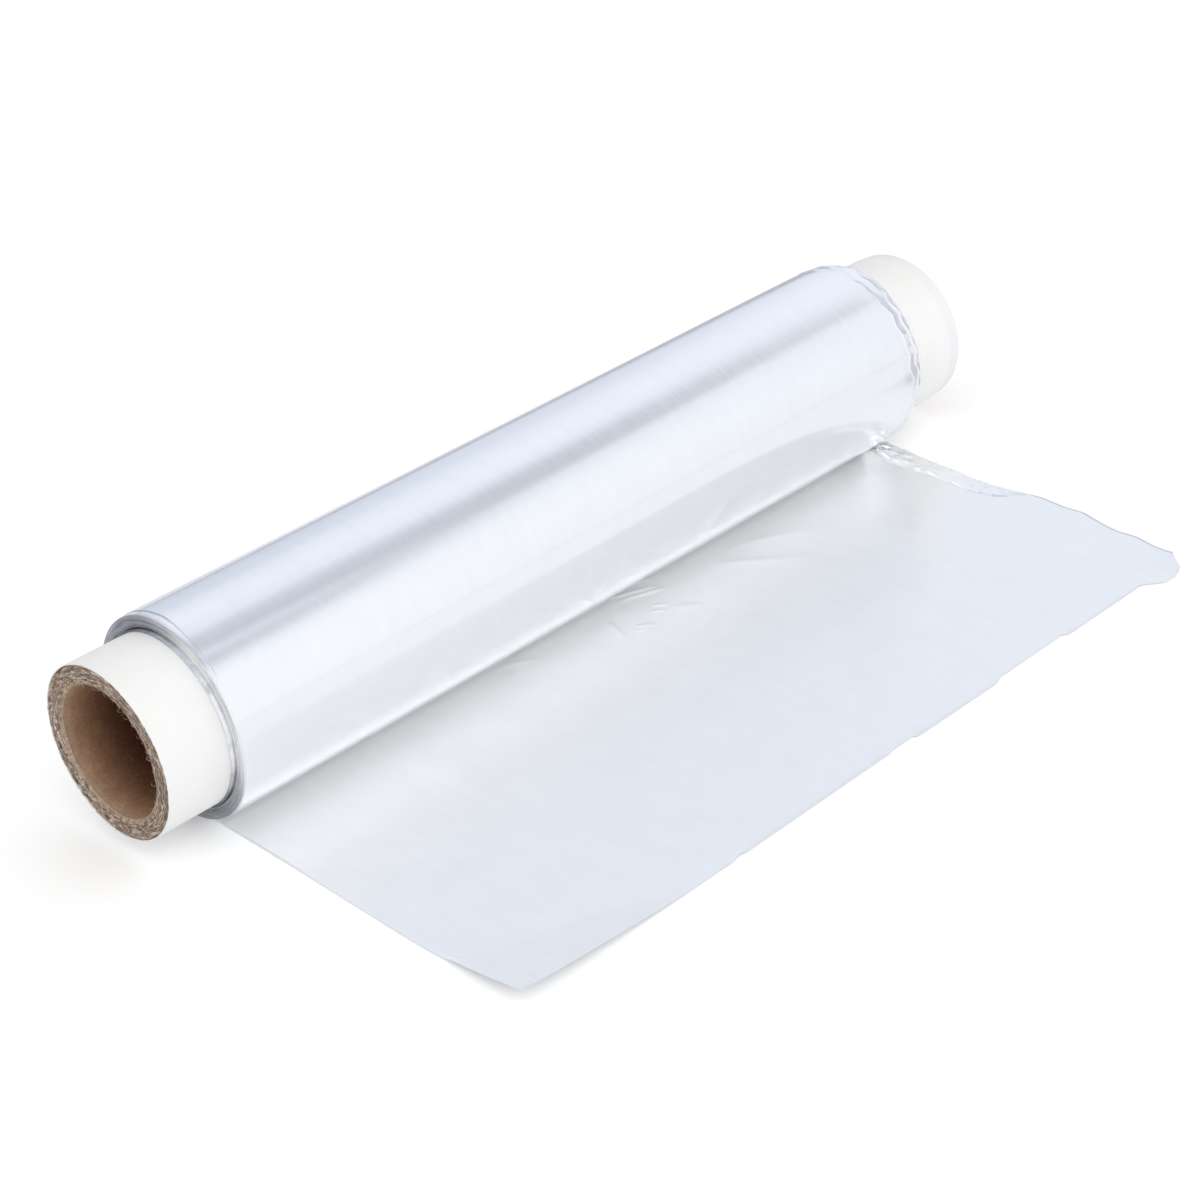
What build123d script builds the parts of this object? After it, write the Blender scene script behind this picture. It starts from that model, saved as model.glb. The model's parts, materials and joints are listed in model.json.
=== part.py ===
from build123d import *
import math
import os

# An aluminium foil roll, wound on a board core that stands out at both ends.
# The roll lies on the floor and a loose sheet runs out from under it.
# X runs along the roll from its near end to its far end, the sheet lies towards -Y
# and Z is up. The origin is on the floor, under the middle of the foil's width.
# All lengths are in millimetres, and the one angle is in degrees.

# Core: a board tube, and a paper cover glued round it
bore_radius = 20.75
board_wall = 6.1
glue_line = 0.1
cover_thickness = 0.35
near_stub = 23.3
far_stub = 24.6
inner_ply_setback = 0.5
outer_ply_setback = 0.3
cover_setback = 0.4
pressed_rim_length = 5.2
pressed_rim_drop = 0.45
ply_radius_shares = (0.24, 0.68)

# Foil wound on the core
foil_width = 300.0
winding_clearance = 0.15
winding_depth = 4.85

# Turns that show at the near end: a collar of the innermost turns, a gap and the rest in groups
collar_reach = 1.2
collar_thickness = 0.3
gap_depth = 1.5
gap_width = 0.4
turn_step = 0.3
turn_edge_round = 0.45
turn_group_shares = (0.9, 0.4, 1.0, 0.3, 0.7, 0.1, 0.5, 0.0)

# Last turn, which runs on into the loose sheet
last_turn_thickness = 0.42
last_turn_setback = 3.0
last_turn_front_setback = 0.9

# Crushed rim at the far end of the roll
crush_length = 15.0
crush_facets = 96
crush_waves = 26
slow_waves = 9
least_crushed_angle = 80.0
crush_depth_share = 0.53
crush_wave_share = 0.1
slow_wave_share = 0.45
spared_share = 0.66
wave_turn_share = 0.37
crush_length_shares = (0.0, 0.35, 0.62, 0.8, 0.9, 1.0)
crush_drop_shares = (0.0, 0.08, 0.34, 0.7, 1.0, 0.86)
crush_wave_shares = (0.0, 0.12, 0.35, 0.7, 0.6, 1.0)

# Loose sheet
sheet_reach = 138.0
sheet_thickness = 0.3
flat_spot = 3.2

# Near corner, bent up along a crease that runs from the near side to the torn edge
corner_lift = 4.5
corner_inset = 2.8
crease_inset_share = 0.003
crease_start_share = 0.79
crease_end_share = 0.217

# Far corner, where a rounded tongue hangs past the torn edge
tongue_reach = 5.5
tongue_tip_share = 0.955

# Strip folded over along the far side of the sheet
hem_width = 9.5
hem_height = 2.0
hem_start_share = 0.07
hem_end_share = 0.53

# Wrinkles in the sheet beside the roll
wrinkle_height = 0.7
wrinkle_width = 3.0
wrinkle_lean_share = 0.2

# Every cut runs past what it cuts by this much
cut_overrun = 1.0

near_end = -foil_width / 2
far_end = foil_width / 2
tube_radius = bore_radius + board_wall
cover_inner_radius = tube_radius + glue_line
core_radius = cover_inner_radius + cover_thickness
winding_radius = core_radius + winding_clearance
roll_radius = winding_radius + winding_depth
inner_turns_radius = roll_radius - last_turn_thickness
axis_height = roll_radius
core_near = near_end - near_stub
core_far = far_end + far_stub
roll_axis = Axis((0, 0, axis_height), (1, 0, 0))


def turned(outline):
    """A ring turned about the roll's axis from points of (place along X, radius)."""
    points = [(x, 0, axis_height + radius) for x, radius in outline]
    return revolve(make_face(Polyline(*points, close=True)), roll_axis)


def core_tube():
    """Kraft board tube: its plies end at slightly different lengths where it was sawn."""
    inner_ply = bore_radius + ply_radius_shares[0] * board_wall
    outer_ply = bore_radius + ply_radius_shares[1] * board_wall
    return turned([
        (core_near + inner_ply_setback, bore_radius),
        (core_near + inner_ply_setback, inner_ply),
        (core_near, inner_ply),
        (core_near, outer_ply),
        (core_near + outer_ply_setback, outer_ply),
        (core_near + outer_ply_setback, tube_radius),
        (core_far - pressed_rim_length, tube_radius),
        (core_far, tube_radius - pressed_rim_drop),
        (core_far, bore_radius),
    ])


def core_cover():
    """White paper ply glued round the tube, pressed in at the far rim with it."""
    start = core_near + cover_setback
    return turned([
        (start, cover_inner_radius),
        (start, core_radius),
        (core_far - pressed_rim_length, core_radius),
        (core_far, core_radius - pressed_rim_drop),
        (core_far, cover_inner_radius - pressed_rim_drop),
        (core_far - pressed_rim_length, cover_inner_radius),
    ])


def wound_turns():
    """All turns but the last, with the collar, the gap and the rings that show at the near end."""
    collar_radius = winding_radius + collar_thickness
    groups_start = collar_radius + gap_width
    groups_end = inner_turns_radius - turn_edge_round
    span = (groups_end - groups_start) / len(turn_group_shares)
    outline = [
        (near_end - collar_reach, winding_radius),
        (near_end - collar_reach, collar_radius),
        (near_end + gap_depth, collar_radius),
        (near_end + gap_depth, groups_start),
    ]
    for index, share in enumerate(turn_group_shares):
        place = near_end + share * turn_step
        outline.append((place, groups_start + index * span))
        outline.append((place, groups_start + (index + 1) * span))
    outline += [
        (near_end + turn_edge_round, inner_turns_radius),
        (far_end - crush_length, inner_turns_radius),
        (far_end - crush_length, winding_radius),
    ]
    return turned(outline)


def last_turn():
    """The outermost turn. Its near edge slants over the front, back to its full setback on top."""
    ring = turned([
        (near_end + last_turn_front_setback, inner_turns_radius),
        (near_end + last_turn_front_setback, roll_radius),
        (far_end - crush_length, roll_radius),
        (far_end - crush_length, inner_turns_radius),
    ])
    set_back = Polyline(
        (near_end - cut_overrun, roll_radius + cut_overrun),
        (near_end + last_turn_setback, roll_radius + cut_overrun),
        (near_end + last_turn_setback, 0),
        (near_end + last_turn_front_setback, -roll_radius),
        (near_end - cut_overrun, -roll_radius),
        close=True,
    )
    return ring - extrude(make_face(set_back), 2 * roll_radius + cut_overrun)


def crushed_rim():
    """The far rim, crumpled down towards the core in short facets, and least of all near the top."""
    sections = []
    for place, drop, wave in zip(crush_length_shares, crush_drop_shares, crush_wave_shares):
        x = far_end - crush_length * (1 - place)
        points = []
        for index in range(crush_facets):
            angle = math.tau * index / crush_facets
            facing = max(0, math.cos(angle - math.radians(least_crushed_angle)))
            crushed = drop * (1 - spared_share * facing ** 4)
            ripple = math.sin(crush_waves * angle + math.tau * wave_turn_share * place)
            swell = slow_wave_share * math.sin(slow_waves * angle)
            radius = roll_radius - winding_depth * (
                crush_depth_share * crushed - crush_wave_share * wave * (ripple + swell)
            )
            points.append((x, radius * math.cos(angle), axis_height + radius * math.sin(angle)))
        sections.append(make_face(Polyline(*points, close=True)))
    rim = loft(sections, ruled=True)
    rim_end = Plane(origin=(far_end, 0, axis_height), z_dir=roll_axis.direction)
    return rim - rim_end * Cylinder(winding_radius, 2 * (crush_length + cut_overrun))


def sheet_point(across, out):
    """A point of the sheet: a share of the foil's width from its near edge, and of its reach."""
    return (near_end + across * foil_width, -out * sheet_reach)


def loose_sheet():
    """The flat part of the sheet, with its torn edge in shallow steps and a rounded tongue."""
    near_side_shares = [(0.0083, 0.30), (0.0045, 0.58), (crease_inset_share, crease_start_share)]
    torn_edge_shares = [
        (crease_end_share, 1.0), (0.28, 1.0), (0.282, 0.994), (0.515, 0.996), (0.517, 1.003),
        (0.68, 1.004), (0.71, 0.996), (0.753, 0.996), (0.807, 1.004), (0.92, 1.006),
    ]
    far_side_shares = [
        (0.986, 0.98), (0.993, 0.93), (0.998, 0.87), (1.0, 0.81), (1.01, 0.70), (1.006, 0.65),
        (1.01, 0.58), (1.003, 0.50), (0.997, 0.39), (1.0, 0.29), (1.003, 0.16),
    ]
    start = (near_end + last_turn_setback, flat_spot)
    end = (far_end, flat_spot)
    near_points = [start] + [sheet_point(*pair) for pair in near_side_shares + torn_edge_shares]
    far_points = [sheet_point(*pair) for pair in far_side_shares] + [end]
    tongue_tip = (near_end + tongue_tip_share * foil_width, -sheet_reach - tongue_reach)
    tongue = ThreePointArc(near_points[-1], tongue_tip, far_points[0])
    outline = [Polyline(*near_points), tongue, Polyline(*far_points), Line(end, start)]
    return extrude(make_face(outline), sheet_thickness)


def lifted_corner():
    """The near corner of the sheet, bent up along its crease."""
    start = Vector(*sheet_point(crease_inset_share, crease_start_share))
    end = Vector(*sheet_point(crease_end_share, 1.0))
    corner = Vector(near_end + corner_inset, -sheet_reach)
    crease = Axis(start, end - start)
    across = (corner - start).cross(crease.direction).length
    panel = extrude(make_face(Polyline(start, end, corner, close=True)), sheet_thickness)
    return panel.rotate(crease, -math.degrees(math.asin(corner_lift / across)))


def hem():
    """The strip folded over along the far side, crumpled flat and tapered at its free end."""
    place_shares = (0.0, 0.02, 0.3, 0.52, 0.8, 1.0)
    row_shares = [
        (0.0, 1.0, 0.33, 0.95, 0.15, 0.80), (0.12, 1.04, 0.48, 0.45, 0.38, 0.35),
        (0.27, 0.98, 0.36, 0.80, 0.20, 0.60), (0.42, 1.0, 0.45, 0.55, 0.40, 0.30),
        (0.58, 0.93, 0.30, 0.70, 0.22, 0.55), (0.75, 0.84, 0.42, 0.40, 0.30, 0.25),
        (0.9, 0.72, 0.27, 0.45, 0.18, 0.30), (1.0, 0.25, 0.18, 0.15, 0.08, 0.10),
    ]
    base = sheet_thickness / 2
    sections = []
    for along, width, outer, ridge, valley, inner in row_shares:
        y = -sheet_reach * (hem_start_share + along * (hem_end_share - hem_start_share))
        points = [
            (far_end - place * width * hem_width, y, base + height * hem_height)
            for place, height in zip(place_shares, (0, outer, ridge, valley, inner, 0))
        ]
        sections.append(make_face(Polyline(*points, close=True)))
    return loft(sections, ruled=True)


def wrinkle(start, end):
    """A low ridge in the sheet between two points given as shares."""
    lift = Vector(0, 0, sheet_thickness / 2)
    first = Vector(*sheet_point(*start)) + lift
    last = Vector(*sheet_point(*end)) + lift
    middle = (first + last) / 2
    side = (last - first).cross(Vector(0, 0, 1)).normalized() * (wrinkle_width / 2)
    base = make_face(Polyline(first, middle + side, last, middle - side, close=True))
    peak = middle + side * wrinkle_lean_share + Vector(0, 0, wrinkle_height)
    return loft([base, Vertex(*peak)], ruled=True)


def foil():
    """The whole foil: the wound turns and the sheet that runs out from them are one strip."""
    wrinkle_shares = [
        ((0.52, 0.13), (0.60, 0.25)), ((0.57, 0.09), (0.55, 0.24)), ((0.58, 0.33), (0.62, 0.36)),
        ((0.67, 0.20), (0.78, 0.40)), ((0.40, 0.10), (0.43, 0.20)), ((0.93, 0.09), (0.90, 0.24)),
        ((0.88, 0.12), (0.96, 0.25)),
    ]
    body = wound_turns() + last_turn() + crushed_rim() + loose_sheet() + lifted_corner() + hem()
    for start, end in wrinkle_shares:
        body += wrinkle(start, end)
    return body


nodes = {"core_tube": core_tube(), "core_cover": core_cover(), "foil": foil()}
os.makedirs("parts", exist_ok=True)
for name, shape in nodes.items():
    export_step(shape, f"parts/{name}.step")
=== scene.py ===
import json
import math
import bpy
import numpy as np
from mathutils import Matrix, Vector, noise


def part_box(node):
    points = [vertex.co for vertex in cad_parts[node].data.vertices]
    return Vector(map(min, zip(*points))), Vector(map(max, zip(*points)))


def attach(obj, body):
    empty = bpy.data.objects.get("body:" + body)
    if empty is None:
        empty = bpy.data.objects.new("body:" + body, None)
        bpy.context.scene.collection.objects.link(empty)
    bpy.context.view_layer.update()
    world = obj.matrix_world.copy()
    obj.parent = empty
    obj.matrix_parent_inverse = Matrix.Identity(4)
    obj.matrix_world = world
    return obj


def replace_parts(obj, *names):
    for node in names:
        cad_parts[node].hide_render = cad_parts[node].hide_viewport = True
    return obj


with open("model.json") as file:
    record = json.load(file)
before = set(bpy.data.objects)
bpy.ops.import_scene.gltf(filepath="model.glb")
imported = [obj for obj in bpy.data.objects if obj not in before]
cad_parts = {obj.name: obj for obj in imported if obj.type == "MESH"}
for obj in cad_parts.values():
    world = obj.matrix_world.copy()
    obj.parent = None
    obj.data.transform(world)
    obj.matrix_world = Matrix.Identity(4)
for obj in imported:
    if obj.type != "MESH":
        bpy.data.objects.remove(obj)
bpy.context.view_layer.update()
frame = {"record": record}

# The board tube. Plies of brown kraft board are wound in a spiral, glued and sawn to length.
# The saw leaves the near end rough and furry, and the bore keeps the smooth face of its inner ply.
mm = 0.001
tube_low, tube_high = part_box("core_tube")
bore = next(mount for mount in frame["record"]["mounts"] if mount["name"] == "core_bore")
bore_radius = bore["dims"]["r_mm"] * mm
axis_height = (tube_low.z + tube_high.z) / 2
tube_radius = (tube_high.z - tube_low.z) / 2
tube_steps_round = 360
sawn_rings = 21
end_zone = 1.6 * mm
coarse_wave, fine_wave = 4.2 * mm, 0.8 * mm
sawn_depth, coarse_depth, fine_depth = 0.42 * mm, 0.18 * mm, 0.52 * mm
chip_place, chip_width, chip_depth = math.radians(232), 0.42, 1.1 * mm
inner_dip, inner_dip_width = 0.9 * mm, 0.9 * mm
far_depth, far_wave_depth = 0.2 * mm, 0.1 * mm
fray_wave, fray_inset, fray_at_chip = 0.28 * mm, 0.22 * mm, 0.5 * mm
fur_height, torn_height = 0.9 * mm, 0.5 * mm
bore_shading = 50 * mm


class Wire:
    """One output of a node, so that sums on it read as sums."""

    def __init__(self, tree, socket):
        self.tree, self.socket = tree, socket

    def __add__(self, other):
        return calculate(self.tree, "ADD", self, other)

    def __sub__(self, other):
        return calculate(self.tree, "SUBTRACT", self, other)

    def __rsub__(self, other):
        return calculate(self.tree, "SUBTRACT", other, self)

    def __mul__(self, other):
        return calculate(self.tree, "MULTIPLY", self, other)

    def __truediv__(self, other):
        return calculate(self.tree, "DIVIDE", self, other)

    def __pow__(self, other):
        return calculate(self.tree, "POWER", self, other)

    __radd__, __rmul__ = __add__, __mul__


def add_node(tree, kind, settings=None, sockets=None, output=0):
    """Adds a node: its settings are set first, then the values or wires of its sockets."""
    node = tree.nodes.new(kind)
    for name, value in (settings or {}).items():
        if name == "stops":
            ramp = node.color_ramp
            while len(ramp.elements) < len(value):
                ramp.elements.new(0.5)
            for element, (place, colour) in zip(ramp.elements, value):
                element.position = place
                element.color = colour if len(colour) == 4 else (*colour, 1)
        else:
            setattr(node, name, value)
    for name, value in (sockets or {}).items():
        if isinstance(value, Wire):
            tree.links.new(value.socket, node.inputs[name])
        else:
            node.inputs[name].default_value = value
    return Wire(tree, node.outputs[output])


def calculate(tree, operation, *values):
    """One Math node on wires or numbers."""
    return add_node(tree, "ShaderNodeMath", {"operation": operation}, dict(enumerate(values)))


def finish(name, **plain):
    """A new material with its shader, and the values that are the same all over it."""
    material = bpy.data.materials.new(name)
    material.use_nodes = True
    shader = material.node_tree.nodes["Principled BSDF"]
    for socket, value in plain.items():
        shader.inputs[socket.replace("_", " ")].default_value = value
    return material, material.node_tree, shader


def feed(tree, shader, **wires):
    for socket, wire in wires.items():
        tree.links.new(wire.socket, shader.inputs[socket.replace("_", " ")])


def object_place(tree):
    return add_node(tree, "ShaderNodeTexCoord", output="Object")


def split(tree, place):
    """The x, y and z of a place, each on its own wire."""
    node = add_node(tree, "ShaderNodeSeparateXYZ", {}, {0: place}).socket.node
    return [Wire(tree, socket) for socket in node.outputs]


def speckle(tree, place, scale, detail, roughness, distortion=0.0):
    sockets = {"Vector": place, "Scale": scale, "Detail": detail}
    sockets |= {"Roughness": roughness, "Distortion": distortion}
    return add_node(tree, "ShaderNodeTexNoise", {}, sockets)


def grey(level):
    return (level, level, level)


def ramp(tree, value, *stops):
    return add_node(tree, "ShaderNodeValToRGB", {"stops": stops}, {"Fac": value})


def blend_colours(tree, share, first, second, kind="MIX"):
    settings = {"data_type": "RGBA", "blend_type": kind}
    return add_node(tree, "ShaderNodeMix", settings, {0: share, 6: first, 7: second}, output=2)


def bump(tree, height, distance, strength, under=None):
    sockets = {"Height": height, "Distance": distance, "Strength": strength}
    if under is not None:
        sockets["Normal"] = under
    return add_node(tree, "ShaderNodeBump", {}, sockets)


def skin(name, points, material, close_rows=False, close_columns=False, uv=None, marks=None):
    """A mesh over a grid of points, array [row, column, xyz] in metres, joined up where it closes."""
    rows, columns = points.shape[:2]
    row = np.arange(rows if close_rows else rows - 1)[:, None]
    column = np.arange(columns if close_columns else columns - 1)[None, :]
    next_row, next_column = (row + 1) % rows, (column + 1) % columns
    corners = [row * columns + column, next_row * columns + column]
    corners += [next_row * columns + next_column, row * columns + next_column]
    faces = np.stack(corners, axis=-1).reshape(-1, 4)
    mesh = bpy.data.meshes.new(name)
    mesh.from_pydata(points.reshape(-1, 3).tolist(), [], faces.tolist())
    if uv is not None:
        # a closed piece's flat pattern has one column more than its points, so that it has no smeared seam
        width = uv.shape[1]
        flat = [row * width + column, next_row * width + column]
        flat += [next_row * width + column + 1, row * width + column + 1]
        flat = np.stack(flat, axis=-1).reshape(-1)
        layer = mesh.uv_layers.new(name="unrolled")
        layer.data.foreach_set("uv", uv.reshape(-1, 2)[flat].astype(np.float32).reshape(-1))
    for mark, values in (marks or {}).items():
        attribute = mesh.attributes.new(mark, "FLOAT", "POINT")
        attribute.data.foreach_set("value", values.astype(np.float32).reshape(-1))
    mesh.shade_smooth()
    mesh.materials.append(material)
    piece = bpy.data.objects.new(name, mesh)
    bpy.context.scene.collection.objects.link(piece)
    return piece


def rough(x, y, z, scale, octaves):
    """Even, repeatable noise between about -1 and 1, for arrays of places in metres."""
    places = np.stack(np.broadcast_arrays(x, y, z), axis=-1).reshape(-1, 3) / scale
    values = [noise.fractal(Vector(place), 1.0, 2.0, octaves) for place in places.tolist()]
    return np.array(values).reshape(np.broadcast(x, y, z).shape)


def round_angles(steps):
    return np.linspace(0, math.tau, steps, endpoint=False)[None, :]


def ring(profile_x, profile_r, angles):
    """Points turned about the roll's axis. Angle 0 faces the loose sheet, a quarter turn is the top."""
    y = -profile_r * np.cos(angles)
    z = axis_height + profile_r * np.sin(angles)
    return np.stack(np.broadcast_arrays(profile_x, y, z), axis=-1)


def round_the_axis(tree, along, around):
    """Places on a round piece: two run round the axis with no seam, and the third runs out and along it."""
    to_axis = {0: object_place(tree), 1: (0, 0, axis_height)}
    x, y, z = split(tree, add_node(tree, "ShaderNodeVectorMath", {"operation": "SUBTRACT"}, to_axis))
    distance = (y * y + z * z) ** 0.5
    round_scale = tube_radius * around
    sockets = {0: y / distance * round_scale, 1: z / distance * round_scale, 2: distance + x * along}
    return add_node(tree, "ShaderNodeCombineXYZ", {}, sockets), distance


def kraft_board():
    board, tree, shader = finish("kraft_board", Specular_IOR_Level=0.05, Roughness=0.92)
    place = object_place(tree)
    sawn = add_node(tree, "ShaderNodeAttribute", {"attribute_name": "sawn"}, output=2)
    wound, distance = round_the_axis(tree, 1.0, 0.13)
    plies = speckle(tree, wound, 2500, 4.0, 0.66, 0.5)
    cracks = speckle(tree, wound, 1300, 4.0, 0.6, 1.0)
    flecks = speckle(tree, place, 1500, 5.0, 0.75, 0.4)
    cloud = speckle(tree, place, 160, 3.0, 0.5)
    grain = speckle(tree, round_the_axis(tree, 0.9, 0.7)[0], 900, 3.0, 0.6)
    middle = (tube_low.x + tube_high.x) / 2
    off_middle = calculate(tree, "ABSOLUTE", split(tree, place)[0] - middle)
    depth = ((tube_high.x - tube_low.x) / 2 - off_middle) / bore_shading
    # painted shade: the bore is tan at the mouth and darkens with depth to dark reddish brown from about 20
    # mm in
    bore_brown_and_painted_shade = ramp(
        tree, depth,
        (0.01, (0.72, 0.50, 0.37)), (0.09, (0.56, 0.34, 0.215)), (0.18, (0.40, 0.225, 0.128)),
        (0.27, (0.27, 0.137, 0.08)), (0.36, (0.175, 0.078, 0.046)), (0.45, (0.105, 0.042, 0.023)),
        (0.60, (0.085, 0.034, 0.018)),
    )
    shade = flecks * 0.45 + cloud * 0.3 + grain * 0.25
    shade = ramp(tree, shade, (0.36, (0.64, 0.62, 0.60)), (0.5, grey(0.85)), (0.64, (1.08, 1.10, 1.12)))
    bore_brown_and_painted_shade = blend_colours(tree, 1.0, bore_brown_and_painted_shade, shade, kind="MULTIPLY")
    lint = ramp(tree, speckle(tree, place, 2300, 1.0, 0.5), (0.71, grey(0)), (0.76, grey(0.55)))
    bore_brown_and_painted_shade = blend_colours(tree, lint, bore_brown_and_painted_shade, (0.62, 0.52, 0.43, 1))
    sawn_grey = ramp(
        tree, plies * 0.75 + flecks * 0.25,
        (0.37, (0.12, 0.068, 0.047)), (0.44, (0.31, 0.21, 0.155)),
        (0.51, (0.53, 0.41, 0.325)), (0.59, (0.95, 0.83, 0.72)),
    )
    crack = ramp(tree, cracks, (0.47, grey(0)), (0.495, grey(0.75)), (0.505, grey(0.75)), (0.53, grey(0)))
    sawn_dark = blend_colours(tree, crack, sawn_grey, (0.11, 0.072, 0.052, 1))
    # on this ramp 0.3 is 0.5 mm out from the bore, and 0.85 is 1.4 mm
    pale_rim = ramp(tree, (distance - bore_radius) * 600, (0.30, grey(0.8)), (0.85, grey(0)))
    sawn_pale = blend_colours(tree, pale_rim, sawn_dark, (0.50, 0.37, 0.265, 1))
    feed(tree, shader, Base_Color=blend_colours(tree, sawn, bore_brown_and_painted_shade, sawn_pale))
    fur = bump(tree, plies * sawn, fur_height, 1.0)
    feed(tree, shader, Normal=bump(tree, flecks, torn_height, 0.6, under=fur))
    return board


def board_tube():
    near, far = tube_low.x, tube_high.x
    # shares of the tube's length, closer together by the sawn end
    along = np.concatenate([np.linspace(0, 0.02, 8)[1:], np.linspace(0.03, 1, 14)])
    wall = np.linspace(0, 1, sawn_rings)
    angles = round_angles(tube_steps_round)
    thickness = tube_radius - bore_radius
    bore_x = near + along * (far - near)
    near_x, far_x = np.full(sawn_rings, near), np.full(sawn_rings, far)
    x = np.concatenate([bore_x, far_x[1:-1], bore_x[::-1], near_x])[:, None]
    radius = np.concatenate([
        np.full(len(bore_x), bore_radius),
        bore_radius + wall[1:-1] * thickness,
        np.full(len(bore_x), tube_radius),
        bore_radius + wall[::-1] * thickness,
    ])[:, None]
    points = ring(x, radius, angles)
    near_end_share = np.clip(1 - (x - near) / end_zone, 0, 1)
    far_end_share = np.clip(1 - (far - x) / end_zone, 0, 1)
    x, y, z = points[..., 0], points[..., 1], points[..., 2]
    coarse = rough(x * 0, y, z, coarse_wave, 2)
    # the fine noise is drawn out round the tube, as the torn plies are
    fine = rough(0.3 + radius, 0.15 * y, 0.15 * z, fine_wave, 3)
    outer_share = np.clip((radius - bore_radius) / thickness, 0, 1)
    calm = 0.25 + 0.75 * outer_share ** 0.5
    depth = sawn_depth + calm * (coarse_depth * coarse + fine_depth * fine)
    chipped = np.exp(-((angles - chip_place) / chip_width) ** 2)
    depth = depth + chipped * outer_share ** 3 * chip_depth * (0.5 + fine)
    dip = inner_dip * np.exp(-((radius - bore_radius) / inner_dip_width) ** 2)
    points[..., 0] += near_end_share * (np.clip(depth, 0, None) + dip)
    points[..., 0] -= far_end_share * np.clip(far_depth + far_wave_depth * (coarse + fine), 0, None)
    frayed = near_end_share * outer_share * (fray_wave * fine - fray_inset - fray_at_chip * chipped)
    points[..., 1] += frayed * -np.cos(angles)
    points[..., 2] += frayed * np.sin(angles)
    sawn = np.zeros(points.shape[:2])
    sawn[len(bore_x):len(bore_x) + sawn_rings - 2] = 1
    sawn[-sawn_rings:] = 1
    marks = {"sawn": sawn}
    return skin("board_tube", points, kraft_board(), close_rows=True, close_columns=True, marks=marks)


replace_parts(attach(board_tube(), "root"), "core_tube")

# Paper fibres torn up by the saw. They stand out of the near end of the board tube,
# thin, curved and lighter than the board, about 0.6 to 1.6 mm long.
fibre_count = 1100
fibre_length = 1.7 * mm
fibre_radius = 0.07 * mm
fibre_bend = math.radians(100)
arc_radius_share = 0.55
shortest_share = 0.35
turned_from, turned_to = (-3.1, 1.15, -3.1), (3.1, 1.95, 3.1)
root_depth = 0.7 * mm
root_from_bore, root_from_outside = 0.2 * mm, 0.1 * mm
fibre_seed, size_seed = 11, 4


def modifier_tree(name, inputs):
    """A new node tree for a Geometry Nodes modifier, with its named inputs and their values."""
    tree = bpy.data.node_groups.new(name, "GeometryNodeTree")
    tree.interface.new_socket("Geometry", in_out="INPUT", socket_type="NodeSocketGeometry")
    tree.interface.new_socket("Geometry", in_out="OUTPUT", socket_type="NodeSocketGeometry")
    for label, value in inputs.items():
        kind = "NodeSocketInt" if isinstance(value, int) else "NodeSocketFloat"
        socket = tree.interface.new_socket(label, in_out="INPUT", socket_type=kind)
        socket.default_value = value
    source = tree.nodes.new("NodeGroupInput")
    return tree, {socket.name: Wire(tree, socket) for socket in source.outputs if socket.name}


def grown(name, base, tree, geometry, values):
    """Runs a finished tree on a base object and keeps the result as a plain mesh."""
    sink = tree.nodes.new("NodeGroupOutput")
    tree.links.new(geometry.socket, sink.inputs[0])
    modifier = base.modifiers.new(name, "NODES")
    modifier.node_group = tree
    for item in tree.interface.items_tree:
        if item.in_out == "INPUT" and item.name in values:
            modifier[item.identifier] = values[item.name]
    bpy.context.view_layer.update()
    evaluated = base.evaluated_get(bpy.context.evaluated_depsgraph_get())
    mesh = bpy.data.meshes.new_from_object(evaluated)
    mesh.name = name
    piece = bpy.data.objects.new(name, mesh)
    bpy.context.scene.collection.objects.link(piece)
    base.modifiers.remove(modifier)
    bpy.data.objects.remove(base)
    return piece


def paper_fibre():
    fibre, tree, shader = finish("paper_fibre", Roughness=0.95, Specular_IOR_Level=0.2)
    tone = speckle(tree, object_place(tree), 1500, 2.0, 0.5)
    pale_brown = ramp(tree, tone, (0.38, (0.30, 0.22, 0.165)), (0.62, (0.64, 0.545, 0.455)))
    feed(tree, shader, Base_Color=pale_brown)
    return fibre


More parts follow.
